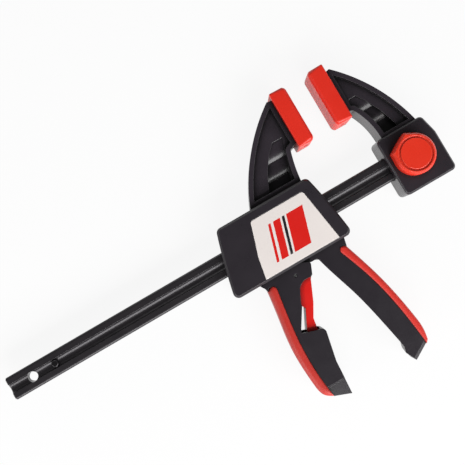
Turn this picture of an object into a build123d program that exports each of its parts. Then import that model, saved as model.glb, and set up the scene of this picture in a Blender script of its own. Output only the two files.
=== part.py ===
from build123d import *
from math import cos, radians, sin
import os

os.makedirs("parts", exist_ok=True)

# One-handed bar clamp with a sliding head, lying on its back. Millimetres, +Z up.
# X runs along the rail towards the fixed jaw, +Y towards the pads, -Y towards the handles.
# The origin lies on the floor, under the middle of the clamp's outline.

# ---- rail ----
rail_length = 348.0
rail_height = 17.2  # along Y
rail_thick = 9.0  # along Z
rail_corner = 2.0
rail_end_chamfer = 0.8
groove_width = 6.8
groove_depth = 2.0
end_hole_d = 7.5
end_hole_inset = 17.8  # from the rail's free end
lock_hole_inset = 22.4  # from the rail's far end
lock_slot = 4.8  # way out of the lock hole to the rail's far end
stop_pin_d = 5.0
stop_pin_inset = 36.1
stop_pin_proud = 1.0
slide_fit = 0.2  # rail to guides and tunnels
plate_fit = 0.35  # rail to the drive and brake plates

# ---- overall reach and depths ----
jaw_reach = 87.4  # rail axis to the pads' tops
handle_reach = 124.0  # rail axis to the handle's tip
opening = 17.8  # gap between the pads as stored
housing_depth = 28.0
head_depth = 24.0  # fixed jaw's block with its cover
jaw_depth = 20.0
pad_depth = 28.0
handle_depth = 23.0
seat_gap = 0.1  # between pieces that are screwed or pressed together

# ---- pads and jaw arms ----
pad_thick = 12.6
pad_length = 43.0
pad_edge = 2.2
tongue_length = 30.0
tongue_depth = 14.0
tongue_reach = 5.0
arm_flange = 3.4
arm_recess = 2.6
tread_sunk = 0.6
step_drop = 2.0
step_nose = 6.0

# ---- fixed jaw's block, measured from the rail's far end ----
block_length = 40.2
block_top = 21.2
block_bottom = 22.9
block_shoulder = 3.4
block_shoulder_drop = 14.3
block_corner = 3.5
cover_thick = 4.0
cover_chamfer = 1.2
fixed_pad_face = 57.8
tunnel_roof = 1.5
screw_d = 3.0
screw_fit = 0.1
screw_head_d = 6.0
screw_head_height = 2.2
screw_sunk = 0.3
block_screw_inset = 5.0
block_screw_rise = 16.4

# ---- knob and lock pin ----
knob_r = 14.4
knob_corner_r = 16.2
knob_nose_r = 1.0
knob_height = 9.2
knob_lift = 0.3
knob_rim_drop = 1.9
knob_face_r = 11.4
knob_roof = 2.2
hub_d = 18.0
hub_fit = 0.1
ring_groove_depth = 0.6
ring_thick = 0.9
ring_width = 2.0
lock_pin_d = 6.6
lock_flats = 4.2  # across the two flats inside the rail
lock_fit = 0.08
lock_floor = 2.5  # wall behind the pin's tip

# ---- housing, measured from the trigger's pin and the rail's axis ----
housing_top = 23.9
housing_bottom = 25.3
top_left = -31.8
top_right = 41.0
bottom_left = -44.7
bottom_right = 49.4
housing_swell = 0.8  # how far both sides bow out
housing_corner = 4.0
wall = 2.0
housing_chamfer = 1.6
plate_thick = 1.0
plate_corner = 2.5
boss_d = 6.4
partition_place = -4.4
partition_thick = 2.4
guide_length = 6.2
guide_height = 24.0
rear_guide_place = -32.2
front_guide_place = 33.8

# ---- drive and brake ----
drive_tilt = 4.0
drive_thick = 3.0
drive_width = 19.0
drive_top = 14.0
drive_bottom = 17.0
drive_place = -7.6
brake_tilt = 4.0
brake_thick = 2.2
brake_width = 19.0
brake_hinge = 5.7  # place of the edge that it tilts on
brake_hinge_rise = 13.0
brake_top = 13.5
brake_shoulder = 12.2
tail_width = 8.0
tail_reach = 34.0
spring_wire = 1.3
spring_radius = 10.9
drive_spring_turns = 5
brake_spring_turns = 2
lever_spring_wire = 0.7
lever_spring_radius = 2.2
lever_spring_turns = 4

# ---- trigger, lever and handle ----
pin_drop = 31.3  # rail axis to the trigger's pin
pin_d = 2.4
pin_sunk = 0.4
pin_fit = 0.05
lug_d = 6.4
lug_width = 17.0
cheek_thick = 2.5
finger_width = 7.0
trunnion_d = 4.0
trunnion_reach = 1.4
trunnion_x = -9.5
trunnion_drop = 77.5
handle_bevel = 2.6
root_gap = 0.5  # handle's root and the trigger to the housing's walls
handle_lean = 2.6  # how far the handle's inner side draws in towards the back
grip_gap = 0.05

# ---- places that follow ----
mid_z = housing_depth / 2
trigger_depth = housing_depth - 2 * (wall + root_gap)
axis_y = (handle_reach - jaw_reach) / 2
rail_end = rail_length / 2
fixed_face_x = rail_end - fixed_pad_face
sliding_face_x = fixed_face_x - opening
pin_to_face = 60.1
pin_x = sliding_face_x - pin_to_face
pad_top = jaw_reach
pad_bottom = jaw_reach - pad_length
block_back = mid_z - head_depth / 2
cover_z = block_back + head_depth - cover_thick
knob_x = rail_end - lock_hole_inset
knob_z = cover_z + cover_thick + knob_lift
half_inside = mid_z - wall
lever_width = lug_width


def on_rail(x, z):
    """Plane parallel to the floor with its origin over the rail's axis."""
    return Plane(origin=(x, axis_y, z))


def across_rail(x):
    """Plane square to the rail: its x runs along Y and its y along Z."""
    return Plane(origin=(x, axis_y, mid_z), x_dir=(0, 1, 0), z_dir=(1, 0, 0))


def finish(piece, name):
    piece.part.label = name
    export_step(piece.part, f"parts/{name}.step")


def rail_slot(x, fit):
    """Outline of the rail's section with a gap all round."""
    with BuildSketch(across_rail(x)) as slot:
        Rectangle(rail_height + 2 * fit, rail_thick + 2 * fit)
    return slot.sketch


# ================= fixed end =================

with BuildPart() as rail:
    with BuildSketch(across_rail(-rail_end)):
        RectangleRounded(rail_height, rail_thick, rail_corner)
        groove_r = ((groove_width / 2) ** 2 + groove_depth**2) / (2 * groove_depth)
        groove_z = rail_thick / 2 - groove_depth + groove_r
        with Locations((0, groove_z), (0, -groove_z)):
            Circle(groove_r, mode=Mode.SUBTRACT)
    extrude(amount=rail_length)
    ends = rail.faces().sort_by(Axis.X)
    chamfer(ends[0].edges() + ends[-1].edges(), rail_end_chamfer)
    with Locations((-rail_end + end_hole_inset, axis_y, mid_z)):
        Hole(end_hole_d / 2)
    with Locations((-rail_end + stop_pin_inset, axis_y, mid_z)):
        Hole(stop_pin_d / 2 + seat_gap / 2)
    # lock hole, and the slot by which the jaw is drawn off once the pin's flats lie along it
    with Locations((knob_x, axis_y, mid_z)):
        Hole(lock_pin_d / 2 + lock_fit)
    with Locations((knob_x, axis_y, mid_z)):
        way_out = (Align.MIN, Align.CENTER, Align.CENTER)
        Box(lock_hole_inset + 1, lock_slot, rail_thick, align=way_out, mode=Mode.SUBTRACT)
finish(rail, "rail")

with BuildPart() as stop_pin:
    with BuildSketch(on_rail(-rail_end + stop_pin_inset, mid_z - rail_thick / 2 - stop_pin_proud)):
        Circle(stop_pin_d / 2)
    extrude(amount=rail_thick + 2 * stop_pin_proud)
    chamfer(stop_pin.edges().group_by(Axis.Z)[0] + stop_pin.edges().group_by(Axis.Z)[-1], stop_pin_proud / 2)
finish(stop_pin, "stop_pin")


def block_face(z):
    """Outline of the fixed jaw's block, with its right shoulder sloped."""
    with BuildSketch(on_rail(rail_end, z)) as face:
        Polygon(
            (-block_length, -block_bottom),
            (0, -block_bottom),
            (0, block_top - block_shoulder_drop),
            (-block_shoulder, block_top),
            (-block_length, block_top),
        )
        fillet(face.vertices(), block_corner)
    return face.sketch


def fixed_arm_face(z, inset=0.0):
    """Side view of the fixed jaw's arm above its block."""
    back = pad_thick - fixed_pad_face
    with BuildSketch(on_rail(rail_end, z)) as face:
        with BuildLine():
            outer = ThreePointArc(
                (back + 3.3, pad_top - 5.2), (back + 24.9, pad_top - 33.2), (back + 38.1, block_top - 1)
            )
            inner = ThreePointArc(
                (back + 10.3, block_top - 1), (back + 8.5, pad_bottom - 8.7), (back + 3.3, pad_bottom + 3.8)
            )
            Polyline(outer @ 1, inner @ 0)
            Polyline(inner @ 1, (back, pad_bottom + 5), (back, pad_top - 5.9), outer @ 0)
        make_face()
        if inset:
            offset(amount=-inset)
    return face.sketch


def sliding_arm_face(z, inset=0.0):
    """Side view of the sliding jaw's arm above the housing."""
    back = pin_to_face - pad_thick
    with BuildSketch(on_rail(pin_x, z)) as face:
        with BuildLine():
            outer = ThreePointArc(
                (back - 3.6, pad_top - 3.6), (back - 38.2, pad_top - 38.6), (back - 51.6, housing_top)
            )
            inner = ThreePointArc(
                (back - 10.5, housing_top), (back - 9.2, pad_bottom - 11.3), (back - 5.9, pad_bottom + 1.8)
            )
            Polyline(outer @ 1, inner @ 0)
            Polyline(inner @ 1, (back, pad_bottom + 4.1), (back, pad_top - 4.3), outer @ 0)
        make_face()
        if inset:
            offset(amount=-inset)
    return face.sketch


def arm_steps(x, outer, inner, edges):
    """Stepped hollow in an arm's side: each tread rolls over towards the bar to the next, lower one."""
    side_z = mid_z + jaw_depth / 2 - arm_recess
    left = min(px for px, _ in outer + inner)
    right = max(px for px, _ in outer + inner)
    top = outer[0][1]
    low = outer[-1][1]
    with BuildPart() as hollow:
        with BuildSketch(on_rail(x, side_z)):
            with BuildLine():
                ThreePointArc(*outer)
                ThreePointArc(*inner)
                Line(outer[0], inner[0])
                Line(outer[-1], inner[-1])
            make_face()
        extrude(amount=-jaw_depth / 2)
        with BuildSketch(Plane(origin=(x + left, axis_y, side_z), x_dir=(0, 1, 0), z_dir=(1, 0, 0))):
            with BuildLine():
                start = Polyline((low, 0), (top, 0), (top, -tread_sunk), (edges[0] + step_nose, -tread_sunk))
                first = TangentArc(start @ 1, (edges[0], -tread_sunk - step_drop), tangent=(-1, 0))
                tread = Line(first @ 1, (edges[1] + step_nose, -tread_sunk - step_drop))
                second = TangentArc(tread @ 1, (edges[1], -tread_sunk - 2 * step_drop), tangent=(-1, 0))
                Polyline(second @ 1, (low, -tread_sunk - 2 * step_drop), (low, 0))
            make_face()
        extrude(amount=right - left, mode=Mode.INTERSECT)
    return hollow.part


def tongue(x, side):
    """Tongue that carries a pad: side is +1 where the pad faces +X."""
    with BuildPart() as piece:
        with BuildSketch(across_rail(x)):
            with Locations(((pad_top + pad_bottom) / 2, 0)):
                Rectangle(tongue_length, tongue_depth)
        extrude(amount=side * tongue_reach)
    return piece.part


def front_and_back(piece):
    """A piece and its mirror image behind the clamp's middle plane."""
    return [piece, mirror(piece, about=Plane.XY.offset(mid_z))]


fixed_back = pad_thick - fixed_pad_face
fixed_steps = [
    [(fixed_back + x, y) for x, y in ((10.4, 56.8), (17.6, 45), (25.6, 22.2))],
    [(fixed_back + x, y) for x, y in ((4.6, 56.8), (7.7, 45), (14.6, 22.2))],
    (45, 33.4),
]
screw_places = [
    (-block_length + block_screw_inset, -block_screw_rise),
    (-block_length + block_screw_inset, block_screw_rise),
    (-block_screw_inset, -block_screw_rise),
    (-block_screw_inset - 1.5, block_screw_rise),
]

with BuildPart() as fixed_jaw:
    extrude(block_face(block_back), amount=cover_z - block_back)
    chamfer(fixed_jaw.faces().sort_by(Axis.Z)[0].edges(), cover_chamfer)
    extrude(fixed_arm_face(mid_z - jaw_depth / 2), amount=jaw_depth)
    add(tongue(fixed_face_x + pad_thick, -1))
    for cut_z, way in ((mid_z + jaw_depth / 2, -1), (mid_z - jaw_depth / 2, 1)):
        extrude(fixed_arm_face(cut_z, arm_flange), amount=way * arm_recess, mode=Mode.SUBTRACT)
    for hollow in front_and_back(arm_steps(rail_end, *fixed_steps)):
        add(hollow, mode=Mode.SUBTRACT)
    extrude(block_face(cover_z), amount=cover_thick, mode=Mode.SUBTRACT)
    extrude(rail_slot(rail_end - block_length, slide_fit), amount=block_length, mode=Mode.SUBTRACT)
    # well for the knob's hub, and the lock pin's bearings in front of and behind the rail
    with BuildSketch(on_rail(knob_x, cover_z)):
        Circle(hub_d / 2 + ring_width + slide_fit)
    extrude(amount=mid_z + rail_thick / 2 + tunnel_roof - cover_z, mode=Mode.SUBTRACT)
    with BuildSketch(on_rail(knob_x, cover_z)):
        Circle(lock_pin_d / 2 + lock_fit)
    extrude(amount=block_back + lock_floor - cover_z, mode=Mode.SUBTRACT)
    with Locations(on_rail(rail_end, block_back) * Location((0, 0, 0), (180, 0, 0))):
        with Locations([(x, -y) for x, y in screw_places]):
            head_r = screw_head_d / 2 + screw_fit
            CounterBoreHole(screw_d / 2 + screw_fit, head_r, screw_head_height + screw_sunk, head_depth)
finish(fixed_jaw, "fixed_jaw")

with BuildPart() as fixed_jaw_cover:
    extrude(block_face(cover_z), amount=cover_thick)
    chamfer(fixed_jaw_cover.faces().sort_by(Axis.Z)[-1].edges(), cover_chamfer)
    with Locations((knob_x, axis_y, cover_z)):
        Hole(hub_d / 2 + hub_fit)
    with BuildSketch(on_rail(rail_end, cover_z)):
        with Locations(*screw_places):
            Circle(screw_d / 2 + screw_fit)
    extrude(amount=cover_thick * 0.7, mode=Mode.SUBTRACT)
finish(fixed_jaw_cover, "fixed_jaw_cover")


def screw(x, y, head_z, length):
    """Pan head screw that points up from the back, with a cross recess in its head."""
    with BuildPart() as piece:
        with BuildSketch(Plane(origin=(x, y, head_z))):
            Circle(screw_head_d / 2)
        extrude(amount=screw_head_height)
        chamfer(piece.edges().group_by(Axis.Z)[0], screw_head_height / 4)
        with BuildSketch(Plane(origin=(x, y, head_z + screw_head_height))):
            Circle(screw_d / 2)
        extrude(amount=length)
        with BuildSketch(Plane(origin=(x, y, head_z))):
            Rectangle(screw_d, screw_d / 4)
            Rectangle(screw_d / 4, screw_d)
        extrude(amount=screw_head_height / 2, mode=Mode.SUBTRACT)
    return piece.part


with BuildPart() as fixed_jaw_screws:
    for x, y in screw_places:
        shank = cover_z - block_back - screw_head_height - screw_sunk + cover_thick * 0.7 - screw_fit
        add(screw(rail_end + x, axis_y + y, block_back + screw_sunk, shank))
finish(fixed_jaw_screws, "fixed_jaw_screws")


def pad(x, side):
    """Pad with a pocket for its tongue: x is its back, side the way that it faces."""
    with BuildPart() as piece:
        with BuildSketch(across_rail(x)):
            with Locations(((pad_top + pad_bottom) / 2, 0)):
                Rectangle(pad_length, pad_depth)
        extrude(amount=side * (pad_thick - seat_gap))
        back = piece.faces().sort_by(Axis.X)[0 if side > 0 else -1]
        fillet(piece.edges() - back.edges(), pad_edge)
        with BuildSketch(across_rail(x)):
            with Locations(((pad_top + pad_bottom) / 2, 0)):
                Rectangle(tongue_length + 2 * seat_gap, tongue_depth + 2 * seat_gap)
        extrude(amount=side * tongue_reach, mode=Mode.SUBTRACT)
        # finger notch in the lower end, for pulling the pad off
        with BuildSketch(Plane(origin=(x, axis_y + pad_bottom, mid_z), x_dir=(1, 0, 0), z_dir=(0, 1, 0))):
            with Locations((side * pad_thick * 0.45, 0)):
                SlotOverall(pad_thick * 0.42, pad_thick * 0.16)
        extrude(amount=pad_edge, mode=Mode.SUBTRACT)
    return piece


fixed_pad = pad(fixed_face_x + pad_thick - seat_gap, -1)
finish(fixed_pad, "fixed_pad")


def knob_outline(z, shrink=0.0):
    """Round knob with two corners, at 90 and 150 degrees, joined by tangents."""
    with BuildSketch(on_rail(knob_x, z)) as face:
        Circle(knob_r - shrink)
        with PolarLocations(knob_corner_r - knob_nose_r, 2, start_angle=90, angular_range=120):
            Circle(knob_nose_r - shrink / 2)
        make_hull(face.edges())
    return face.sketch


ring_z = cover_z - seat_gap - ring_thick
hub_bottom = ring_z - ring_thick
with BuildPart() as knob:
    extrude(knob_outline(knob_z), amount=knob_height - knob_rim_drop)
    extrude(knob_outline(knob_z + knob_height - knob_rim_drop), amount=knob_rim_drop, taper=35)
    with BuildSketch(on_rail(knob_x, knob_z + knob_height)):
        Circle(knob_face_r + 0.7)
        Circle(knob_face_r - 0.7, mode=Mode.SUBTRACT)
    extrude(amount=-0.6, mode=Mode.SUBTRACT)
    with BuildSketch(on_rail(knob_x, hub_bottom)):
        Circle(hub_d / 2)
    extrude(amount=knob_z - hub_bottom)
    with BuildSketch(on_rail(knob_x, ring_z)):
        Circle(hub_d / 2)
        Circle(hub_d / 2 - ring_groove_depth, mode=Mode.SUBTRACT)
    extrude(amount=ring_thick, mode=Mode.SUBTRACT)
    with BuildSketch(on_rail(knob_x, hub_bottom)):
        Circle(lock_pin_d / 2 + seat_gap / 2)
    extrude(amount=knob_z + knob_height - knob_roof - hub_bottom, mode=Mode.SUBTRACT)
finish(knob, "knob")

with BuildPart() as knob_ring:
    with BuildSketch(on_rail(knob_x, ring_z)):
        Circle(hub_d / 2 + ring_width - ring_groove_depth)
        Circle(hub_d / 2 - ring_groove_depth, mode=Mode.SUBTRACT)
        with Locations((0, -hub_d / 2)):
            Rectangle(ring_width * 2, hub_d, mode=Mode.SUBTRACT)
    extrude(amount=ring_thick)
finish(knob_ring, "knob_ring")

# Quarter-turn pin, pressed into the knob's hub: its flats lie across the rail's slot when locked.
lock_tip = block_back + lock_floor + 0.2
with BuildPart() as lock_pin:
    with BuildSketch(on_rail(knob_x, lock_tip)):
        Circle(lock_pin_d / 2)
    extrude(amount=knob_z + knob_height - knob_roof - seat_gap - lock_tip)
    chamfer(lock_pin.edges().group_by(Axis.Z)[0], lock_pin_d / 12)
    with BuildSketch(on_rail(knob_x, mid_z - rail_thick / 2 - slide_fit)):
        Circle(lock_pin_d)
        Rectangle(lock_flats, lock_pin_d, mode=Mode.SUBTRACT)
    extrude(amount=rail_thick + 2 * slide_fit, mode=Mode.SUBTRACT)
finish(lock_pin, "lock_pin")

# ================= housing of the sliding head =================


def housing_face(z, inset=0.0):
    """Outline of the housing, its sides leaning and bowed out a little."""
    middle = (housing_top - housing_bottom) / 2
    with BuildSketch(on_rail(pin_x, z)) as face:
        with BuildLine():
            low = Line((bottom_left, -housing_bottom), (bottom_right, -housing_bottom))
            right_side = ((bottom_right + top_right) / 2 + housing_swell, middle)
            right = ThreePointArc(low @ 1, right_side, (top_right, housing_top))
            top = Line(right @ 1, (top_left, housing_top))
            left_side = ((bottom_left + top_left) / 2 - housing_swell, middle)
            ThreePointArc(top @ 1, left_side, low @ 0)
        make_face()
        fillet(face.vertices(), housing_corner)
        if inset:
            offset(amount=-inset)
    return face.sketch


arm_left = pin_to_face - pad_thick - 51.6
arm_right = pin_to_face - pad_thick - 10.5
neck_left = -26.2
root_right = 42.6
boss_places = [(-26.0, 16.8), (-34.0, -18.6), (28.0, 16.2), (38.5, -18.6)]


def shell(face_z, inward):
    """Half shell from its outer face to the middle plane; inward is +1 or -1."""
    with BuildPart() as half:
        extrude(housing_face(face_z), amount=inward * mid_z)
        outer = half.faces().sort_by(Axis.Z)[0 if inward > 0 else -1]
        chamfer(outer.edges(), housing_chamfer)
        extrude(housing_face(face_z + inward * wall, wall), amount=inward * half_inside, mode=Mode.SUBTRACT)
        # ways out: rail at both sides, jaw arm on top, trigger and handle below
        rail_way = rail_slot(pin_x + bottom_left, slide_fit + 0.2)
        extrude(rail_way, amount=bottom_right - bottom_left, mode=Mode.SUBTRACT)
        with BuildSketch(on_rail(pin_x, mid_z)):
            Polygon(
                (arm_left - seat_gap - 1, housing_top - wall - 1),
                (arm_right + seat_gap + 1, housing_top - wall - 1),
                (arm_right + seat_gap, housing_top + 1),
                (arm_left - seat_gap, housing_top + 1),
            )
            Polygon(
                (neck_left, -housing_bottom - 1),
                (root_right + seat_gap, -housing_bottom - 1),
                (root_right + seat_gap, -housing_bottom + wall + 1),
                (neck_left, -housing_bottom + wall + 1),
            )
        extrude(amount=-inward * half_inside, mode=Mode.SUBTRACT)
        # partition that carries the brake spring and stops the drive plate
        with BuildSketch(on_rail(pin_x, face_z + inward * wall)):
            with Locations((partition_place, 0)):
                Rectangle(partition_thick, brake_shoulder * 2, align=(Align.MIN, Align.CENTER))
            with Locations(*boss_places):
                Circle(boss_d / 2)
        extrude(amount=inward * half_inside)
        extrude(
            rail_slot(pin_x + partition_place, slide_fit + 0.2), amount=partition_thick, mode=Mode.SUBTRACT
        )
    return half.part


def plate_face(z, grow=0.0):
    """Outline of the pale plate: straight right side, left side bent twice."""
    with BuildSketch(on_rail(pin_x, z)) as face:
        Polygon(
            (-19.1, 1.7 - housing_bottom),
            (39.8, 1.7 - housing_bottom),
            (33.6, housing_top - 6.9),
            (-8.4, housing_top - 6.9),
            (-12.6, 3.4),
            (-16.1, -7.1),
        )
        fillet(face.vertices().group_by(Axis.Y)[-1], plate_corner)
        if grow:
            offset(amount=grow)
    return face.sketch


screw_well = screw_head_height + 2 * screw_sunk
well_wall = 1.2
well_r = screw_head_d / 2 + screw_sunk
with BuildPart() as housing_back:
    add(shell(0, 1))
    with BuildSketch(on_rail(pin_x, 0)):
        with Locations(*boss_places):
            Circle(well_r + well_wall)
    extrude(amount=screw_well + well_wall)
    with BuildSketch(on_rail(pin_x, 0)):
        with Locations(*boss_places):
            Circle(well_r)
    extrude(amount=screw_well, mode=Mode.SUBTRACT)
    with BuildSketch(on_rail(pin_x, 0)):
        with Locations(*boss_places):
            Circle(screw_d / 2 + screw_fit)
    extrude(amount=mid_z, mode=Mode.SUBTRACT)
finish(housing_back, "housing_back")

plate_z = housing_depth - plate_thick
with BuildPart() as housing_front:
    add(shell(housing_depth, -1))
    extrude(plate_face(plate_z, seat_gap), amount=plate_thick, mode=Mode.SUBTRACT)
    with BuildSketch(on_rail(pin_x, mid_z)):
        with Locations(*boss_places):
            Circle(screw_d / 2 + screw_fit)
    extrude(amount=mid_z - 2 * wall, mode=Mode.SUBTRACT)
finish(housing_front, "housing_front")

with BuildPart() as housing_screws:
    for x, y in boss_places:
        shank = mid_z * 2 - 2 * wall - screw_well - screw_fit
        add(screw(pin_x + x, axis_y + y, screw_sunk * 2, shank))
finish(housing_screws, "housing_screws")

with BuildPart() as label_plate:
    extrude(plate_face(plate_z), amount=plate_thick)
    chamfer(label_plate.faces().sort_by(Axis.Z)[-1].edges(), plate_thick / 5)
finish(label_plate, "label_plate")


def boss_room(x, y):
    """Room round a screw boss, wider at the back where the screw's head lies."""
    with BuildPart() as room:
        with BuildSketch(on_rail(pin_x + x, 0)):
            with Locations((0, y)):
                Circle(boss_d / 2 + seat_gap)
        extrude(amount=housing_depth)
        with BuildSketch(on_rail(pin_x + x, 0)):
            with Locations((0, y)):
                Circle(well_r + well_wall + seat_gap)
        extrude(amount=screw_well + well_wall + seat_gap)
    return room.part


# ================= sliding jaw =================

foot_bottom = 15.0
leg_right = 33.4
foot_z = wall + seat_gap
sliding_back = pin_to_face - pad_thick
sliding_steps = [
    [(sliding_back - x, y) for x, y in ((14.4, 57.3), (24.3, 45.7), (34.6, 24.8))],
    [(sliding_back - x, y) for x, y in ((6.4, 57.3), (9.9, 45.7), (16.6, 24.8))],
    (45.7, 34.1),
]

with BuildPart() as sliding_jaw:
    extrude(sliding_arm_face(mid_z - jaw_depth / 2), amount=jaw_depth)
    add(tongue(sliding_face_x - pad_thick, 1))
    for cut_z, way in ((mid_z + jaw_depth / 2, -1), (mid_z - jaw_depth / 2, 1)):
        extrude(sliding_arm_face(cut_z, arm_flange), amount=way * arm_recess, mode=Mode.SUBTRACT)
    for hollow in front_and_back(arm_steps(pin_x, *sliding_steps)):
        add(hollow, mode=Mode.SUBTRACT)
    # neck through the housing's top wall
    with BuildSketch(on_rail(pin_x, mid_z - jaw_depth / 2)):
        with Locations((arm_left, foot_bottom)):
            Rectangle(arm_right - arm_left, housing_top - foot_bottom, align=(Align.MIN, Align.MIN))
    extrude(amount=jaw_depth)
    # foot between the shells, with a leg over the rail that the brake plate tilts against
    with BuildSketch(on_rail(pin_x, foot_z)):
        with Locations((arm_left - 3, foot_bottom)):
            Rectangle(
                arm_right - arm_left + 4,
                housing_top - wall - seat_gap - 0.1 - foot_bottom,
                align=(Align.MIN, Align.MIN),
            )
        Polygon(
            (brake_hinge + seat_gap, foot_bottom),
            (brake_hinge + seat_gap, brake_hinge_rise - 0.4),
            (brake_hinge + seat_gap + 1.2, rail_height / 2 + 0.8),
            (leg_right, rail_height / 2 + 0.8),
            (leg_right, foot_bottom),
        )
    extrude(amount=housing_depth - 2 * foot_z)
    add(boss_room(*boss_places[2]), mode=Mode.SUBTRACT)
finish(sliding_jaw, "sliding_jaw")

sliding_pad = pad(sliding_face_x - pad_thick + seat_gap, 1)
finish(sliding_pad, "sliding_pad")

# ================= guides, plates and springs =================


def guide(x):
    """Block between the shells that the rail runs through."""
    with BuildPart() as piece:
        with BuildSketch(across_rail(x)):
            Rectangle(guide_height, 2 * (half_inside - seat_gap))
        extrude(amount=guide_length)
        extrude(rail_slot(x, slide_fit), amount=guide_length, mode=Mode.SUBTRACT)
        chamfer(piece.edges().filter_by(Axis.X).sort_by(Axis.Z)[0:2], 0.8)
    return piece


rear_guide = guide(pin_x + rear_guide_place)
finish(rear_guide, "rear_guide")
front_guide = guide(pin_x + front_guide_place)
finish(front_guide, "front_guide")


def tilted(x, y, lean, base_z):
    """Plane square to the rail, leaning by an angle: its x runs up along the plate."""
    turn = radians(lean)
    return Plane(
        origin=(pin_x + x, axis_y + y, base_z),
        x_dir=(sin(turn), cos(turn), 0),
        z_dir=(cos(turn), -sin(turn), 0),
    )


with BuildPart() as drive_plate:
    with BuildSketch(tilted(drive_place, 0, drive_tilt, mid_z)):
        with Locations(((drive_top - drive_bottom) / 2, 0)):
            RectangleRounded(drive_top + drive_bottom, drive_width, 2)
        Rectangle(rail_height + 2 * plate_fit, rail_thick + 2 * plate_fit, mode=Mode.SUBTRACT)
    extrude(amount=drive_thick / 2, both=True)
finish(drive_plate, "drive_plate")

# The brake plate's right face passes through its tilting edge, so it is drawn from there.
with BuildPart() as brake_plate:
    with BuildSketch(tilted(brake_hinge, brake_hinge_rise, -brake_tilt, mid_z)):
        with Locations(((brake_top - brake_shoulder) / 2 - brake_hinge_rise, 0)):
            RectangleRounded(brake_top + brake_shoulder, brake_width, 1.5)
        with Locations((-brake_hinge_rise - (brake_shoulder + tail_reach) / 2 + 1, 0)):
            Rectangle(tail_reach - brake_shoulder + 2, tail_width)
        with Locations((-brake_hinge_rise, 0)):
            Rectangle(rail_height + 2 * plate_fit, rail_thick + 2 * plate_fit, mode=Mode.SUBTRACT)
    extrude(amount=-brake_thick)
finish(brake_plate, "brake_plate")


def coil(start, length, radius, wire, turns, y, z):
    """Open coil spring along +X, its wire's middle on a helix."""
    with BuildPart() as piece:
        with BuildLine():
            path = Helix(length / turns, length, radius, center=(start, y, z), direction=(1, 0, 0))
        with BuildSketch(Plane(origin=path @ 0, z_dir=path % 0)):
            Circle(wire / 2)
        sweep(is_frenet=True)
    return piece


guide_face = rear_guide_place + guide_length
drive_spring_end = drive_place - (drive_thick / 2 + spring_radius * sin(radians(drive_tilt))) - 0.3
drive_spring = coil(
    pin_x + guide_face + spring_wire / 2 + seat_gap,
    drive_spring_end - guide_face - spring_wire - 2 * seat_gap,
    spring_radius,
    spring_wire,
    drive_spring_turns,
    axis_y,
    mid_z,
)
finish(drive_spring, "drive_spring")

partition_face = partition_place + partition_thick
brake_face = brake_hinge - brake_thick / cos(radians(brake_tilt))
brake_spring = coil(
    pin_x + partition_face + spring_wire / 2 + seat_gap,
    brake_face - partition_face - spring_wire - 2 * seat_gap,
    spring_radius,
    spring_wire,
    brake_spring_turns,
    axis_y,
    mid_z,
)
finish(brake_spring, "brake_spring")

# ================= handle =================

handle_neck = 29.9  # rail axis to the handle's neck, which stays where it is
handle_drawn = 124.0  # reach that the handle's points are drawn for


def along_handle(y):
    """Place of a point of the handle at its present reach."""
    return -handle_neck + (y + handle_neck) * (handle_reach - handle_neck) / (handle_drawn - handle_neck)


def handle_points(*points, lean=0.0):
    return [(x + lean, along_handle(y)) for x, y in points]


handle_tip = (43.3, -handle_reach)
handle_line = handle_points((54.8, -117.2), (51.9, -93.5), (44.2, -57.8), (35.4, -33.4))
handle_inner = handle_points((19.6, -29.9), (22.5, -40.3), (29.4, -62), (35.9, -89.3), (40.2, -111))


def handle_face(z, lean=0.0):
    """Side view of the handle up to the housing, without the soft strip."""
    with BuildSketch(on_rail(pin_x, z)) as face:
        with BuildLine():
            inner = Spline(*[(x + lean, y) for x, y in handle_inner])
            divide = Spline(*handle_line)
            Polyline(inner @ 1, *handle_points((39.0, -115.5), lean=lean), handle_tip, divide @ 0)
            seat_end = (41.2, grip_gap + along_handle(-31.4))
            seat = ThreePointArc(divide @ 1, (37.4 - grip_gap, grip_gap - handle_neck), seat_end)
            Polyline(seat @ 1, (root_right, -housing_bottom), (19.6 + lean, -housing_bottom), inner @ 0)
        make_face()
    return face.sketch


def handle_strip(z):
    """Side view of the soft strip over the handle's outer side."""
    with BuildSketch(on_rail(pin_x, z)) as face:
        with BuildLine():
            divide = Spline(*[(x + grip_gap, y) for x, y in handle_line])
            outer = Spline(*handle_points((41.2, -31.4), (50.4, -61), (57.4, -96.3), (58.2, -108.5), (57.2, -114.6)))
            ThreePointArc(divide @ 1, (37.4, -handle_neck), outer @ 0)
            Polyline(outer @ 1, divide @ 0)
        make_face()
    return face.sketch


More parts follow.
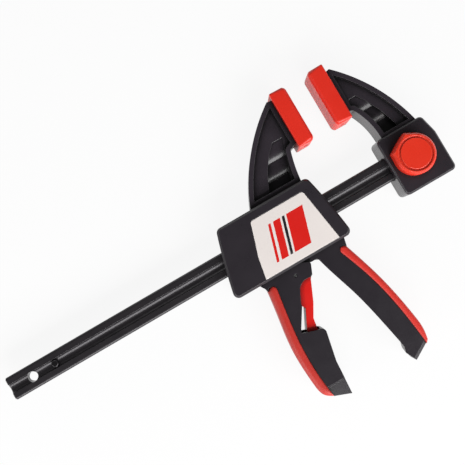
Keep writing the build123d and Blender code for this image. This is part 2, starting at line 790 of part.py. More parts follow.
yoke_slot = tail_width + 1.2
handle_z = mid_z - handle_depth / 2
with BuildPart() as handle:
    loft([handle_face(handle_z, handle_lean), handle_face(handle_z + handle_depth)], ruled=True)
    with BuildSketch(on_rail(pin_x, wall + root_gap)):
        Polygon(
            (14.5, -rail_height / 2 - 1.2),
            (front_guide_place - 0.5, -rail_height / 2 - 1.2),
            (front_guide_place - 0.5, -guide_height / 2 - 0.3),
            (root_right, -guide_height / 2 - 0.3),
            (root_right, -housing_bottom),
            (19.6, -29.9),
            (18.6, -28.6),
            (14.5, -28.6),
        )
    extrude(amount=trigger_depth)
    # yoke that carries the trigger's pin, with a slot for the brake plate's tail
    with BuildSketch(on_rail(pin_x, mid_z)):
        Polygon(
            (-2.6, 1.8 - pin_drop), (4, -21.5), (14.6, -21.5), (14.6, -28.6), (8, -29), (2.4, -2 - pin_drop)
        )
        with Locations((0, -pin_drop)):
            Circle(lug_d / 2)
    extrude(amount=lug_width / 2, both=True)
    with BuildSketch(on_rail(pin_x, mid_z)):
        with Locations((lug_d / 2 + seat_gap, -housing_bottom)):
            Rectangle(14.5 - lug_d / 2, pin_drop - rail_height / 2, align=(Align.MIN, Align.CENTER))
    extrude(amount=yoke_slot / 2, both=True, mode=Mode.SUBTRACT)
    with Locations((pin_x, axis_y - pin_drop, mid_z)):
        Hole(pin_d / 2 + seat_gap / 2)
    add(boss_room(*boss_places[3]), mode=Mode.SUBTRACT)
    for face_z in (handle_z, handle_z + handle_depth):
        end_edge = handle.edges().sort_by_distance((pin_x + 49.5, axis_y + along_handle(-120), face_z))[0]
        chamfer(end_edge, handle_bevel)
finish(handle, "handle")

with BuildPart() as handle_grip:
    extrude(handle_strip(handle_z), amount=handle_depth)
finish(handle_grip, "handle_grip")

cheek_z = mid_z - trigger_depth / 2
with BuildPart() as trigger_pin:
    with BuildSketch(on_rail(pin_x, cheek_z + pin_sunk)):
        with Locations((0, -pin_drop)):
            Circle(pin_d / 2)
    extrude(amount=trigger_depth - 2 * pin_sunk)
    fillet(trigger_pin.edges().group_by(Axis.Z)[0] + trigger_pin.edges().group_by(Axis.Z)[-1], pin_d / 6)
finish(trigger_pin, "trigger_pin")

# ================= trigger =================

strip_line = [(-18.8, -116.6), (-20.9, -96), (-20.5, -70), (-17.8, -47.3), (-15.6, -32.6)]


def trigger_face(z):
    """Side view of the trigger without its strip: nose and neck above, block below."""
    with BuildSketch(on_rail(pin_x, z)) as face:
        with BuildLine():
            strip = Spline(*strip_line)
            seat = ThreePointArc(strip @ 1, (-19, grip_gap - 29.4), (-22.2, grip_gap - 31.6))
            Polyline(
                seat @ 1,
                (-22.6, -29.2),
                (-24.7, -26),
                (-13, -24),
                (-5.7, -19.5),
                (-5.7, -13.4),
                (-1.5, -12.8),
                (3, -17),
                (6, -24.5),
                (12.5, -27.5),
                (13.6, -29.2),
                (10.5, -36.4),
                (8.7, -37.3),
            )
            ThreePointArc((8.7, -37.3), (2.4, -37.4), (-2.1, -41))
            Polyline(
                (-2.1, -41),
                (-6.5, -50),
                (-7, -52.2),
                (-16.2, -66.6),
                (-16.2, -67.9),
                (-5.2, -71.6),
            )
            ThreePointArc((-5.2, -71.6), (-2.4, -72.1), (-0.9, -75.1))
            Polyline(
                (-0.9, -75.1),
                (-5.4, -96.3),
                (-6.9, -121.3),
                strip @ 0,
            )
        make_face()
    return face.sketch


def trigger_channel(z):
    """Space between the trigger's cheeks for the yoke, the lever and the plate's tail."""
    with BuildSketch(on_rail(pin_x, z)) as face:
        Polygon(
            (-1.7, -10),
            (-1.7, -19.5),
            (-8, -25),
            (-8.5, -36),
            (-10.5, -41.2),
            (-13.9, -41.2),
            (-13.9, -47.8),
            (-16.6, -60),
            (-17, -68),
            (-14.2, -84),
            (-3.8, -84),
            (-3.2, -70),
            (20, -70),
            (20, -10),
        )
    return face.sketch




def end_ramp():
    """What the trigger's front lacks at its lower end."""
    with BuildPart() as ramp:
        front_z = mid_z + trigger_depth / 2
        with BuildSketch(Plane(origin=(pin_x - 30, axis_y, front_z), x_dir=(0, 1, 0), z_dir=(1, 0, 0))):
            Polygon((-108.6, 0), (-109.8, -1.6), (-124, -3.4), (-124, 0))
        extrude(amount=40)
    return ramp.part


with BuildPart() as trigger:
    extrude(trigger_face(cheek_z), amount=trigger_depth)
    channel_width = trigger_depth - 2 * cheek_thick + 0.6
    extrude(trigger_channel(mid_z - channel_width / 2), amount=channel_width, mode=Mode.SUBTRACT)
    with Locations((pin_x, axis_y - pin_drop, mid_z)):
        Hole(pin_d / 2 + pin_fit)
    with BuildSketch(on_rail(pin_x + trunnion_x, mid_z)):
        with Locations((0, -trunnion_drop)):
            Circle(trunnion_d / 2 + pin_fit)
    extrude(amount=lever_width / 2 + trunnion_reach + 0.2, both=True, mode=Mode.SUBTRACT)
    # the lower end steps back on both sides and slopes away to the tip
    for side in front_and_back(end_ramp()):
        add(side, mode=Mode.SUBTRACT)
finish(trigger, "trigger")

with BuildPart() as trigger_grip:
    with BuildSketch(on_rail(pin_x, cheek_z)):
        with BuildLine():
            strip = Spline(*[(x - grip_gap, y) for x, y in strip_line])
            outer = Spline(
                (-22.2, -31.6),
                (-24.2, -47.3),
                (-27.8, -75.3),
                (-27, -103),
                (-24.2, -112.8),
                (-18.8 - grip_gap, -116.7),
            )
            ThreePointArc(strip @ 1, (-19, -29.4), outer @ 0)
            Line(outer @ 1, strip @ 0)
        make_face()
    extrude(amount=trigger_depth)
finish(trigger_grip, "trigger_grip")

# ================= release lever =================

with BuildPart() as release_lever:
    with BuildSketch(on_rail(pin_x, mid_z)):
        with BuildLine():
            Polyline((9.1, -36.9), (1.7, -53.5), (-3.9, -63.1), (-6.2, -trunnion_drop))
            ThreePointArc(
                (-6.2, -trunnion_drop), (trunnion_x, -3.2 - trunnion_drop), (-12.8, -trunnion_drop)
            )
            Polyline((-12.8, -trunnion_drop), (-12.2, -68.3), (-5.1, -54.2), (-8.3, -50), (-1.6, -39.2))
            ThreePointArc((-1.6, -39.2), (3, -37.5), (9.1, -36.9))
        make_face()
    extrude(amount=lever_width / 2, both=True)
    # slot for the brake plate's tail, and the finger that pushes it
    with BuildSketch(on_rail(pin_x, mid_z)):
        Polygon((-3, -30), (0.5, -38), (7.4, -38), (9.5, -35.6), (9.5, -30))
    extrude(amount=yoke_slot / 2, both=True, mode=Mode.SUBTRACT)
    with BuildSketch(on_rail(pin_x, mid_z)):
        Polygon(
            (4, -38),
            (7.4, -38),
            (9.5, -35.6),
            (9.6, -34),
            (9.9, -33.3),
            (10.8, -32),
            (11.4, -32),
            (11.3, -34),
            (10.9, -36.2),
            (8, -40),
        )
    extrude(amount=finger_width / 2, both=True)
    with BuildSketch(on_rail(pin_x + trunnion_x, mid_z)):
        with Locations((0, -trunnion_drop)):
            Circle(trunnion_d / 2)
    extrude(amount=lever_width / 2 + trunnion_reach, both=True)
finish(release_lever, "release_lever")

lever_spring = coil(
    pin_x - 13.5, 6.6, lever_spring_radius, lever_spring_wire, lever_spring_turns, axis_y - 44.5, mid_z
)
finish(lever_spring, "lever_spring")
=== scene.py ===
import math

import bmesh
import bpy
import numpy as np
from mathutils import Matrix, Vector


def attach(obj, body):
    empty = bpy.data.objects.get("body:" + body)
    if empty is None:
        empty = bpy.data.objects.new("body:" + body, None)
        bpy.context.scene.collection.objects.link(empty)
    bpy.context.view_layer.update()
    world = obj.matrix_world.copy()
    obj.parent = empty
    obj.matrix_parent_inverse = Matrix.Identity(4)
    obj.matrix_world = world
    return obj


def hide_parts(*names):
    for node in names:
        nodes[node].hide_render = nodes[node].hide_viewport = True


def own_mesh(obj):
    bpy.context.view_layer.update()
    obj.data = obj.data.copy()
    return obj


# One-handed bar clamp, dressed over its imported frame. Metres, +Z up out of the clamp's front.

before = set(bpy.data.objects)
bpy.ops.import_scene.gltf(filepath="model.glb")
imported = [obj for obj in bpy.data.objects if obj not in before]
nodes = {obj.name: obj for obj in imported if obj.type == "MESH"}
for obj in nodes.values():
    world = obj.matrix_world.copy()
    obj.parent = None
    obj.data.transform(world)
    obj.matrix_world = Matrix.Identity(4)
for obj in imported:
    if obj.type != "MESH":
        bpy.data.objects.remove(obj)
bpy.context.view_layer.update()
scene = bpy.context.scene
millimetre = 0.001

view = {
    "place": (0.005177, 0.014871, 0.54685),
    "aim": (0.015682, 0.035179, 0.020),
    "roll": 30.197,  # degrees that the rail rises to the right
    "lens": 58.08,
    "sensor": 36.0,
    "near": 0.01,
    "far": 20.0,
}


def makeCamera():
    place = Vector(view["place"])
    forward = (Vector(view["aim"]) - place).normalized()
    roll = math.radians(view["roll"])
    right = forward.cross(Vector((math.sin(roll), math.cos(roll), 0))).normalized()
    up = right.cross(forward)
    turn = Matrix((right, up, -forward)).transposed().to_4x4()
    data = bpy.data.cameras.new("camera")
    data.lens = view["lens"]
    data.sensor_width = view["sensor"]
    data.clip_start = view["near"]
    data.clip_end = view["far"]
    eye = bpy.data.objects.new("camera", data)
    eye.matrix_world = Matrix.Translation(place) @ turn
    scene.collection.objects.link(eye)
    scene.camera = eye


makeCamera()
print("camera made")


class Wire:  # a socket that takes part in sums: each operator adds one Math node
    def __init__(self, finish, socket):
        self.finish = finish
        self.socket = socket

    def maths(self, operation, other, swap=False):
        values = {0: other, 1: self} if swap else {0: self, 1: other}
        return self.finish.node("ShaderNodeMath", {"operation": operation}, values)

    def pick(self, name):  # another output of the same node
        return Wire(self.finish, self.socket.node.outputs[name])

    def clamped(self):
        return self.finish.node("ShaderNodeClamp", {}, {"Value": self})

    def __add__(self, other):
        return self.maths("ADD", other)

    def __radd__(self, other):
        return self.maths("ADD", other, True)

    def __sub__(self, other):
        return self.maths("SUBTRACT", other)

    def __rsub__(self, other):
        return self.maths("SUBTRACT", other, True)

    def __mul__(self, other):
        return self.maths("MULTIPLY", other)

    def __rmul__(self, other):
        return self.maths("MULTIPLY", other, True)

    def __lt__(self, other):
        return self.maths("LESS_THAN", other)

    def __gt__(self, other):
        return self.maths("GREATER_THAN", other)


wearAndHighlight = {
    "bevel": {"samples": 8},
    "opening": {"samples": 4},
    "gain": 8.0,  # how fast an edge's turn grows into wear and painted highlight
    "patch": 0.5,  # the part of the wear and painted highlight that comes in patches
    "steady": 0.4,  # and the part that is there all along an edge
    "openFrom": 0.75,  # a place less open than this gets neither wear nor painted highlight
    "openGain": 4.0,
}


class Finish:  # a material, or a world, and the nodes in it
    def __init__(self, name, home=bpy.data.materials):
        self.owner = home.new(name)
        self.owner.use_nodes = True
        self.tree = self.owner.node_tree
        self.tree.nodes.clear()

    def node(self, kind, settings, sockets, output=0):
        made = self.tree.nodes.new(kind)
        for key, value in settings.items():
            setattr(made, key, value)
        for key, value in sockets.items():
            if isinstance(value, Wire):
                self.tree.links.new(value.socket, made.inputs[key])
            else:
                made.inputs[key].default_value = value
        return Wire(self, made.outputs[output])

    def place(self):
        return self.node("ShaderNodeTexCoord", {}, {}, "Object")

    def noise(self, scale, detail, roughness, vector=None):
        sockets = {"Vector": vector or self.place(), "Scale": scale, "Detail": detail}
        return self.node("ShaderNodeTexNoise", {}, {**sockets, "Roughness": roughness})

    def blend(self, factor, first, second):
        sockets = {0: factor, 6: first, 7: second}
        return self.node("ShaderNodeMix", {"data_type": "RGBA"}, sockets, 2)

    def bump(self, height, distance, normal):
        sockets = {"Height": height, "Distance": distance, "Normal": normal}
        return self.node("ShaderNodeBump", {}, sockets)

    def edges(self, radius, patchy, reach):
        # The rounded normal, the share of edge wear and painted highlight, and how open the place
        # is. An outer edge is where the rounded normal leaves the true one. It takes wear and a
        # painted highlight in patches where the place is open.
        rounded = self.node("ShaderNodeBevel", wearAndHighlight["bevel"], {"Radius": radius})
        sockets = {"Distance": reach}
        openness = self.node("ShaderNodeAmbientOcclusion", wearAndHighlight["opening"], sockets, "AO")
        true = self.node("ShaderNodeNewGeometry", {}, {}, "Normal")
        product = {"operation": "DOT_PRODUCT"}
        facing = self.node("ShaderNodeVectorMath", product, {0: rounded, 1: true}, "Value")
        wornAndLit = (1 - facing) * wearAndHighlight["gain"] * (patchy * wearAndHighlight["patch"] + wearAndHighlight["steady"])
        wornAndLit = wornAndLit * (openness - wearAndHighlight["openFrom"]) * wearAndHighlight["openGain"]
        return rounded, wornAndLit.clamped(), openness

    def principled(self, sockets):
        return self.surface(self.node("ShaderNodeBsdfPrincipled", {}, sockets))

    def surface(self, shader, kind="ShaderNodeOutputMaterial"):
        made = self.tree.nodes.new(kind)
        self.tree.links.new(shader.socket, made.inputs["Surface"])
        return self.owner


head = {  # mm
    "pinX": 38.3,  # the trigger's pin
    "axisY": 18.3,  # the bar's axis
    "middleZ": 14.0,  # half the head's depth
}
plateBars = {
    "slant": 0.3,  # mm across for each mm up
    "from": -17.0,  # mm over the bar's axis
    "to": 9.0,
    "inks": [  # a colour and its bars, each in mm past the pin at the axis' height
        ((0.66, 0.012, 0.008, 1), [(13.0, 26.0), (2.5, 8.0), (-1.5, 0.5)]),
        ((0.014, 0.012, 0.015, 1), [(9.5, 11.5)]),
    ],
}


def slantedBars(finish, ground):
    # Plain bars printed on the plate: a place is inside a bar where how far it is across, less the
    # slant's share of how far it is up, is within the bar's limits.
    place = finish.node("ShaderNodeSeparateXYZ", {}, {0: finish.place()})
    up = place.pick("Y") * (1 / millimetre) - head["axisY"]
    across = place.pick("X") * (1 / millimetre) - head["pinX"] - up * plateBars["slant"]
    within = (up > plateBars["from"]) * (up < plateBars["to"])
    for ink, bars in plateBars["inks"]:
        share = sum((across > low) * (across < high) for low, high in bars)
        ground = finish.blend(share * within, ground, ink)
    return ground


# Each plastic: its two shades, the shade of its edges with wear and a painted highlight, its
# roughness, and the grain's waves per metre and depth in metres. Some change how round the edges
# look, how far the painted shade in seams and hollows reaches and how much of the colour is left in
# that shade.
plastics = {
    "blackPlastic": {
        "shades": ((0.02, 0.017, 0.021), (0.029, 0.024, 0.03), (0.05, 0.047, 0.052)),
        "roughness": 0.3,
        "grain": (2600.0, 0.00002),
    },
    "jawPlastic": {
        "shades": ((0.026, 0.021, 0.027), (0.038, 0.031, 0.039), (0.075, 0.072, 0.076)),
        "roughness": 0.26,
        "grain": (2600.0, 0.00001),
        "reach": 0.012,
        "paintedShadeLevel": 0.08,
    },
    "handlePlastic": {
        "shades": ((0.016, 0.013, 0.017), (0.022, 0.018, 0.023), (0.035, 0.032, 0.036)),
        "roughness": 0.34,
        "grain": (2200.0, 0.00003),
        "edge": 0.0003,
    },
    "softRed": {
        "shades": ((0.7, 0.02, 0.009), (0.78, 0.03, 0.014), (0.8, 0.1, 0.06)),
        "roughness": 0.38,
        "grain": (1800.0, 0.00006),
    },
    "gripRed": {
        "shades": ((0.58, 0.024, 0.016), (0.7, 0.036, 0.024), (0.78, 0.1, 0.07)),
        "roughness": 0.42,
        "grain": (1500.0, 0.00008),
    },
    "knobRed": {
        "shades": ((0.7, 0.024, 0.009), (0.78, 0.036, 0.013), (0.8, 0.12, 0.06)),
        "roughness": 0.36,
        "grain": (900.0, 0.00002),
        "paintedShadeLevel": 0.8,
    },
    # the grip red darkened, a painted shade for the trigger's strip
    "shadedGripRed": {
        "shades": ((0.44, 0.02, 0.013), (0.54, 0.03, 0.02), (0.72, 0.1, 0.07)),
        "roughness": 0.42,
        "grain": (1500.0, 0.00008),
    },
    "leverRed": {
        "shades": ((0.64, 0.008, 0.006), (0.72, 0.014, 0.01), (0.76, 0.06, 0.045)),
        "roughness": 0.32,
        "grain": (900.0, 0.00003),
    },
    "paleSheet": {
        "shades": ((0.76, 0.7, 0.67), (0.82, 0.76, 0.73), (0.84, 0.8, 0.78)),
        "roughness": 0.34,
        "grain": (900.0, 0.00002),
        "printed": slantedBars,
    },
    "guidePlastic": {
        "shades": ((0.6, 0.58, 0.54), (0.66, 0.64, 0.6), (0.7, 0.68, 0.65)),
        "roughness": 0.5,
        "grain": (1500.0, 0.00004),
    },
}
plasticSkin = {  # what all plastics share; a noise is its waves per metre, detail and roughness
    "drift": (45.0, 3.0, 0.5),
    "smudge": (90.0, 4.0, 0.65),
    "grainDetail": 2.0,
    "grainRoughness": 0.6,
    "smudgeGloss": 0.14,  # how far each of these four moves the roughness
    "grainGloss": 0.08,
    "rubbedGloss": 0.06,
    "hollowGloss": 0.15,
    "paintedShadeGain": 2.2,  # the painted shade in seams and hollows fades as this times the openness, less the next, goes to 1
    "paintedShadeFrom": 1.2,
    "refraction": 1.49,
}


def moulded(name, shades, roughness, grain, edge=0.0005, reach=0.004, paintedShadeLevel=0.35, printed=None):
    # Moulded plastic: a soft drift between two shades, fine grain, smudged gloss, painted shade in
    # seams and hollows, and edges rubbed smooth that take wear and a painted highlight.
    finish = Finish(name)
    skin = plasticSkin
    dark, light, wornAndLit = ((*shade, 1) for shade in shades)
    waves, depth = grain
    drift = finish.noise(*skin["drift"])
    fine = finish.noise(waves, skin["grainDetail"], skin["grainRoughness"])
    smudge = finish.noise(*skin["smudge"])
    rounded, wornAndLitShare, openness = finish.edges(edge, smudge, reach)
    ground = finish.blend(drift, dark, light)
    if printed:
        ground = printed(finish, ground)
    # painted shade: the dark shade, dimmed, laid over seams and hollows where the place is less
    # open
    deep = (*(paintedShadeLevel * part for part in dark[:3]), 1)
    ground = finish.blend((openness * skin["paintedShadeGain"] - skin["paintedShadeFrom"]).clamped(), deep, ground)
    gloss = roughness + (smudge - 0.5) * skin["smudgeGloss"] + (fine - 0.5) * skin["grainGloss"]
    gloss = gloss - wornAndLitShare * skin["rubbedGloss"] + (1 - openness) * skin["hollowGloss"]
    return finish.principled({
        # edges take the colour of wear and a painted highlight
        "Base Color": finish.blend(wornAndLitShare, ground, wornAndLit),
        "Roughness": gloss,
        "IOR": skin["refraction"],
        "Normal": finish.bump(fine, depth, rounded),
    })


# Each metal: its two shades and its edges' shade with wear and a painted highlight, roughness,
# share of bare metal, how its lines are drawn out along X (1 is not at all) and their depth in
# metres.
metals = {
    "blackRail": {
        "shades": ((0.022, 0.02, 0.023), (0.036, 0.032, 0.036), (0.16, 0.157, 0.16)),
        "roughness": 0.32,
        "bare": 0.3,
        "stretch": 0.02,
        "depth": 0.0000005,
    },
    "brightSteel": {
        "shades": ((0.5, 0.5, 0.51), (0.66, 0.66, 0.66), (0.7, 0.7, 0.7)),
        "roughness": 0.25,
        "bare": 1.0,
        "stretch": 1.0,
        "depth": 0.00001,
    },
    "darkSteel": {
        "shades": ((0.03, 0.027, 0.03), (0.07, 0.066, 0.07), (0.3, 0.3, 0.3)),
        "roughness": 0.3,
        "bare": 0.9,
        "stretch": 1.0,
        "depth": 0.00001,
    },
    "plateSteel": {
        "shades": ((0.22, 0.22, 0.23), (0.34, 0.34, 0.34), (0.5, 0.5, 0.5)),
        "roughness": 0.36,
        "bare": 1.0,
        "stretch": 1.0,
        "depth": 0.00002,
    },
}
metalSkin = {  # what all metals share
    "lines": (2600.0, 3.0, 0.6),
    "drift": (70.0, 4.0, 0.6),
    "linesGloss": 0.2,
    "driftGloss": 0.12,
    "edge": 0.0003,
    "reach": 0.004,
}


def metal(name, shades, roughness, bare, stretch, depth):
    # Metal with fine lines, drawn out along X where stretch is small, and edges brightened by wear
    # and a painted highlight.
    finish = Finish(name)
    skin = metalSkin
    dark, light, wornAndLit = ((*shade, 1) for shade in shades)
    sockets = {"Vector": finish.place(), "Scale": (stretch, 1.0, 1.0)}
    along = finish.node("ShaderNodeMapping", {"vector_type": "POINT"}, sockets)
    lines = finish.noise(*skin["lines"], along)
    drift = finish.noise(*skin["drift"])
    rounded, wornAndLitShare, _ = finish.edges(skin["edge"], drift, skin["reach"])
    gloss = roughness + (lines - 0.5) * skin["linesGloss"] + (drift - 0.5) * skin["driftGloss"]
    return finish.principled({
        "Base Color": finish.blend(wornAndLitShare, finish.blend(drift, dark, light), wornAndLit),
        "Metallic": bare,
        "Roughness": gloss,
        "Normal": finish.bump(lines, depth, rounded),
    })


finishes = {name: moulded(name, **look) for name, look in plastics.items()}
finishes.update({name: metal(name, **look) for name, look in metals.items()})

dressing = {
    "rail": "blackRail",
    "stop_pin": "darkSteel",
    "fixed_jaw": "jawPlastic",
    "fixed_jaw_cover": "blackPlastic",
    "fixed_jaw_screws": "brightSteel",
    "fixed_pad": "softRed",
    "knob": "knobRed",
    "knob_ring": "plateSteel",
    "lock_pin": "brightSteel",
    "housing_back": "blackPlastic",
    "housing_front": "blackPlastic",
    "housing_screws": "brightSteel",
    "label_plate": "paleSheet",
    "sliding_jaw": "jawPlastic",
    "sliding_pad": "softRed",
    "rear_guide": "guidePlastic",
    "front_guide": "guidePlastic",
    "drive_plate": "plateSteel",
    "brake_plate": "plateSteel",
    "drive_spring": "brightSteel",
    "brake_spring": "brightSteel",
    "handle": "handlePlastic",
    "handle_grip": "gripRed",
    "trigger_pin": "brightSteel",
    "trigger": "handlePlastic",
    "trigger_grip": "gripRed",
    "release_lever": "leverRed",
    "lever_spring": "brightSteel",
}
for name, finishName in dressing.items():
    mesh = nodes[name].data
    mesh.materials.clear()
    mesh.materials.append(finishes[finishName])
print("finishes on the frame's nodes")


def throughPoints(points, count):
    # Natural cubic through the points, with the chords' lengths as its parameter: count points
    # along it.
    knots = np.array(points, float)
    chord = np.linalg.norm(np.diff(knots, axis=0), axis=1)
    place = np.concatenate(([0.0], np.cumsum(chord)))
    inside = np.arange(1, len(knots) - 1)
    system = np.eye(len(knots))
    system[inside, inside - 1] = chord[:-1]
    system[inside, inside] = 2 * (chord[:-1] + chord[1:])
    system[inside, inside + 1] = chord[1:]
    slope = np.diff(knots, axis=0) / chord[:, None]
    right = np.zeros_like(knots)
    right[1:-1] = 6 * np.diff(slope, axis=0)
    bend = np.linalg.solve(system, right)
    at = np.linspace(0, place[-1], count)
    k = np.clip(np.searchsorted(place, at) - 1, 0, len(chord) - 1)
    h = chord[k][:, None]
    left = (at - place[k])[:, None]
    rest = h - left
    cubic = (bend[k] * rest**3 + bend[k + 1] * left**3) / (6 * h)
    straight = (knots[k] / h - bend[k] * h / 6) * rest
    straight += (knots[k + 1] / h - bend[k + 1] * h / 6) * left
    return cubic + straight


def arcThrough(start, middle, end, count):
    # Circle arc from start by middle to end: its centre is where the two chords' bisectors meet.
    a, b, c = (np.array(point, float) for point in (start, middle, end))
    sides = 2 * np.array([b - a, c - a])
    centre = np.linalg.solve(sides, np.array([b @ b - a @ a, c @ c - a @ a]))
    first, mid, last = (math.atan2(*(point - centre)[::-1]) for point in (a, b, c))
    turn = (last - first) % (2 * math.pi)
    if (mid - first) % (2 * math.pi) > turn:
        turn -= 2 * math.pi
    angle = first + turn * np.linspace(0, 1, count)
    return centre + np.linalg.norm(a - centre) * np.column_stack((np.cos(angle), np.sin(angle)))


def lengthsAlong(line):
    return np.linalg.norm(np.diff(line, axis=0), axis=1)


def spread(line, shares):
    # Points at these shares of a line's length.
    place = np.concatenate(([0.0], np.cumsum(lengthsAlong(line))))
    return np.column_stack([np.interp(shares * place[-1], place, line[:, k]) for k in (0, 1)])


def gridFaces(rows, columns, first):
    # Quads over rows by columns points that are numbered row by row from first.
    index = first + np.arange(rows * columns).reshape(rows, columns)
    corners = (index[:-1, :-1], index[:-1, 1:], index[1:, 1:], index[1:, :-1])
    return np.stack(corners, -1).reshape(-1, 4)


joining = {
    "merge": 2e-6,  # metres between points that become one
    "shortest": 1e-6,  # an edge under this goes
    "sharp": 40.0,  # degrees from which an edge is shaded as an edge
}


def makePiece(name, sheets, finishName, body, node):
    # Joins sheets, each a grid of points in mm, into one closed mesh in metres.
    points = np.concatenate([sheet.reshape(-1, 3) for sheet in sheets]) * millimetre
    starts = np.cumsum([0] + [sheet.shape[0] * sheet.shape[1] for sheet in sheets])
    faces = [gridFaces(*sheet.shape[:2], start) for sheet, start in zip(sheets, starts)]
    mesh = bpy.data.meshes.new(name)
    mesh.from_pydata(points.tolist(), [], np.concatenate(faces).tolist())
    work = bmesh.new()
    work.from_mesh(mesh)
    bmesh.ops.remove_doubles(work, verts=work.verts, dist=joining["merge"])
    bmesh.ops.dissolve_degenerate(work, edges=work.edges, dist=joining["shortest"])
    bmesh.ops.recalc_face_normals(work, faces=work.faces)
    work.to_mesh(mesh)
    work.free()
    mesh.shade_smooth()
    mesh.set_sharp_from_angle(angle=math.radians(joining["sharp"]))
    mesh.materials.append(finishes[finishName])
    piece = bpy.data.objects.new(name, mesh)
    scene.collection.objects.link(piece)
    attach(piece, body)
    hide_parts(node)


padSize = {  # mm
    "half": (6.25, 21.5, 13.9),
    "faceEdge": 3.2,  # rounding round the face that clamps
    "backEdge": 0.9,
    "pillow": 0.12,  # how far the broad sides swell
    "middleY": 65.9,  # over the bar's axis
    "notch": (1.2, 2.6, 2.2),  # finger notch in the lower end: along X, along Z, deep
    "lowerEnd": 0.97,  # the share of the half length past which the notch may cut
    "fixedX": 122.5,
    "slidingX": 92.1,
    "turned": 0.72,  # the share of a side where the finer rows for the rounding begin
    "flatRows": 26,
    "edgeRows": 12,
}


def makePad(name, middleX, facing, body, node):
    # Rounded box: each point is its inner box's nearest point plus the radius outwards. The radius
    # grows from the back's to the face's, the broad sides swell a little, and a smooth dent makes
    # the finger notch.
    half = np.array(padSize["half"])
    turned, edgeRows = padSize["turned"], padSize["edgeRows"]
    flat = np.linspace(-turned, turned, padSize["flatRows"])[1:-1]
    low, high = np.linspace(-1, -turned, edgeRows), np.linspace(turned, 1, edgeRows)
    line = np.concatenate((low, flat, high))
    a, b = np.meshgrid(line, line, indexing="ij")
    wide, tall, deep = padSize["notch"]
    growth = padSize["faceEdge"] - padSize["backEdge"]
    sheets = []
    for axis in range(3):
        for side in (-1, 1):
            corner = np.insert(np.dstack((a, b)), axis, side, axis=2)
            at = corner * half
            radius = padSize["backEdge"] + growth * (corner[..., :1] + 1) / 2
            core = np.clip(at, radius - half, half - radius)
            out = at - core
            at = core + radius * out / np.linalg.norm(out, axis=2, keepdims=True)
            swell = padSize["pillow"] * np.prod(1 - np.delete(corner, axis, axis=2) ** 2, axis=2)
            at[..., axis] += side * swell * (axis > 0)
            dent = np.exp(-((at[..., 0] / wide) ** 2 + (at[..., 2] / tall) ** 2) ** 2)
            at[..., 1] += deep * dent * (at[..., 1] < padSize["lowerEnd"] * -half[1])
            at[..., 0] *= facing
            sheets.append(at + (middleX, head["axisY"] + padSize["middleY"], head["middleZ"]))
    makePiece(name, sheets, "softRed", body, node)


makePad("fixedPad", padSize["fixedX"], -1, "fixed_end", "fixed_pad")
makePad("slidingPad", padSize["slidingX"], 1, "sliding_head", "sliding_pad")
print("soft pads made")

# The strips' lines run down from the top, in mm past the pin and over the bar's axis.
handleStrip = {
    "finish": "gripRed",
    "seat": [(35.45, -33.4), (44.25, -57.8), (51.95, -93.5), (54.85, -117.2)],
    "outer": [(41.2, -31.4), (50.4, -61), (57.4, -96.3), (58.2, -108.5), (57.2, -114.6)],
    "top": (37.4, -29.9),  # the arc over the top goes through here
    "squareEnd": True,
    "depth": 23.0,
    "proud": 0.9,  # front and back, over the hard plastic
    "seatEdge": 1.5,
    "outerEdge": 2.8,
}
triggerStrip = {
    "finish": "shadedGripRed",
    "seat": [(-15.65, -32.6), (-17.85, -47.3), (-20.55, -70), (-20.95, -96), (-18.85, -116.6)],
    "outer": [
        (-22.2, -31.6), (-24.2, -47.3), (-27.8, -75.3), (-27, -103), (-24.2, -112.8),
        (-18.85, -116.6),
    ],
    "top": (-19, -29.4),
    "squareEnd": False,  # the two lines meet
    "depth": 23.0,
    "proud": 0.9,
    "seatEdge": 1.5,
    "outerEdge": 4.5,
}
stripGrid = {
    "arcPoints": 61,
    "linePoints": 200,
    "endShare": 0.07,  # of the length, with rows that close up towards the end
    "endRows": 22,
    "middleRows": 90,
    "across": (0, 0.006, 0.02, 0.045, 0.085, 0.14, 0.21, 0.3, 0.4, 0.5),  # the rest mirrors it
}


def quarterFall(border, edge):
    # How far a quarter circle with this radius has fallen, by the way to the border.
    short = edge - np.minimum(border, edge)
    return edge - np.sqrt(edge**2 - short**2)


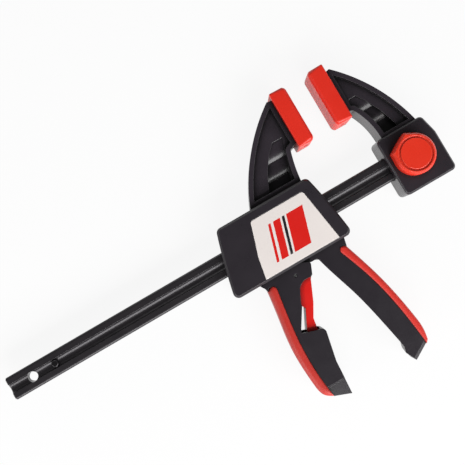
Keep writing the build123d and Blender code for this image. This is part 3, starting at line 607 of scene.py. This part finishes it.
def makeStrip(name, size, body, node):
    # Soft strip between its seat and its outer line. Its front falls away by a quarter circle of
    # the seat's edge at the seat, of the larger outer edge at the outer line and, where the end is
    # square, of the seat's edge there. The back mirrors the front.
    arc = arcThrough(size["seat"][0], size["top"], size["outer"][0], stripGrid["arcPoints"])
    crest = stripGrid["arcPoints"] // 2
    inner = np.vstack((arc[crest::-1], throughPoints(size["seat"], stripGrid["linePoints"])[1:]))
    outward = np.vstack((arc[crest:], throughPoints(size["outer"], stripGrid["linePoints"])[1:]))
    ease = np.linspace(0, 1, stripGrid["endRows"])[1:]
    ends = stripGrid["endShare"] * (1 - np.cos(ease * math.pi / 2))
    middle = np.linspace(ends[-1], 1 - ends[-1], stripGrid["middleRows"])[1:-1]
    shares = np.concatenate(([0.0], ends, middle, 1 - ends[::-1], [1.0]))
    across = np.array(stripGrid["across"])
    across = np.concatenate((across, 1 - across[-2::-1]))
    near = spread(inner, shares)[:, None, :]
    far = spread(outward, shares)[:, None, :]
    plan = near + (far - near) * across[None, :, None]
    width = np.linalg.norm(far - near, axis=2)
    atSeat = quarterFall(across * width, size["seatEdge"])
    atOuter = quarterFall((1 - across) * width, size["outerEdge"])
    drop = np.maximum(atSeat, atOuter)
    if size["squareEnd"]:
        toEnd = ((1 - shares) * lengthsAlong(inner).sum())[:, None]
        drop = np.maximum(drop, quarterFall(toEnd, size["seatEdge"]))
    rise = size["depth"] / 2 + size["proud"] - drop
    spot = plan + np.array([head["pinX"], head["axisY"]])
    front = np.dstack((spot, head["middleZ"] + rise))
    back = np.dstack((spot, head["middleZ"] - rise))
    walls = [np.stack((front[:, k], back[:, k])) for k in (0, -1)]
    walls += [np.stack((front[k], back[k])) for k in (0, -1)]
    makePiece(name, [front, back, *walls], size["finish"], body, node)


makeStrip("handleStrip", handleStrip, "sliding_head", "handle_grip")
makeStrip("triggerStrip", triggerStrip, "trigger", "trigger_grip")
print("soft strips made")

# The coil springs that the drive plate and the lever press: joint, seat in metres, shortest share.
springs = {
    "drive_spring": ("drive_stroke", (0.0124, 0.0183, 0.014), 0.55),
    "lever_spring": ("lever_squeeze", (0.02445, -0.0262, 0.014), 0.6),
}
for name, (joint, anchor, keep) in springs.items():
    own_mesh(nodes[name])

studio = {
    "floor": 3.0,
    "floorTone": 0.82,
    "backdrop": 1.0,
    "shadowShare": 0.9,  # how much of the floor's picture is plain white
    "overhead": 0.05,  # the world's strength straight up
    "horizon": 0.42,  # and at the horizon
    "aim": (0, 0.02, 0.015),
    "lamps": [
        # place, width, height, watts
        ((0.1, -1.15, 0.8), 1.9, 0.85, 36.0),
        ((-1.0, -0.35, 0.4), 0.6, 0.6, 4.0),
        ((0.1, 1.2, 0.4), 0.7, 0.7, 2.0),
    ],
}


def makeFloor():
    half = studio["floor"] / 2
    corners = [(-half, -half, 0), (half, -half, 0), (half, half, 0), (-half, half, 0)]
    mesh = bpy.data.meshes.new("floor")
    mesh.from_pydata(corners, [], [(0, 1, 2, 3)])
    floor = bpy.data.objects.new("floor", mesh)
    scene.collection.objects.link(floor)
    finish = Finish("floorPaper")
    tone, backdrop = studio["floorTone"], studio["backdrop"]
    matte = finish.node("ShaderNodeBsdfDiffuse", {}, {"Color": (tone, tone, tone, 1)})
    white = finish.node("ShaderNodeEmission", {}, {"Color": (1, 1, 1, 1), "Strength": backdrop})
    path = finish.node("ShaderNodeLightPath", {}, {}, "Is Camera Ray")
    seen = (path + path.pick("Is Glossy Ray") + path.pick("Is Transmission Ray")).clamped()
    sockets = {0: seen * studio["shadowShare"], 1: matte, 2: white}
    mesh.materials.append(finish.surface(finish.node("ShaderNodeMixShader", {}, sockets)))


def makeLight():
    sky = Finish("studio", bpy.data.worlds)
    direction = sky.node("ShaderNodeTexCoord", {}, {}, "Generated")
    upward = sky.node("ShaderNodeSeparateXYZ", {}, {0: direction}, "Z")
    overhead, horizon = studio["overhead"], studio["horizon"]
    level = overhead + (horizon - overhead) * (1 - upward.clamped())
    seen = sky.node("ShaderNodeLightPath", {}, {}, "Is Camera Ray")
    level = level * (1 - seen) + seen * studio["backdrop"]
    soft = sky.node("ShaderNodeBackground", {}, {"Color": (1, 1, 1, 1), "Strength": level})
    scene.world = sky.surface(soft, "ShaderNodeOutputWorld")
    for place, width, height, watts in studio["lamps"]:
        data = bpy.data.lights.new("softbox", "AREA")
        data.shape = "RECTANGLE"
        data.size = width
        data.size_y = height
        data.energy = watts
        lamp = bpy.data.objects.new("softbox", data)
        lamp.location = place
        lamp.rotation_mode = "QUATERNION"
        towards = Vector(studio["aim"]) - Vector(place)
        lamp.rotation_quaternion = towards.to_track_quat("-Z", "Y")
        scene.collection.objects.link(lamp)


makeFloor()
makeLight()
scene.view_settings.view_transform = "Standard"
print("floor and light made")
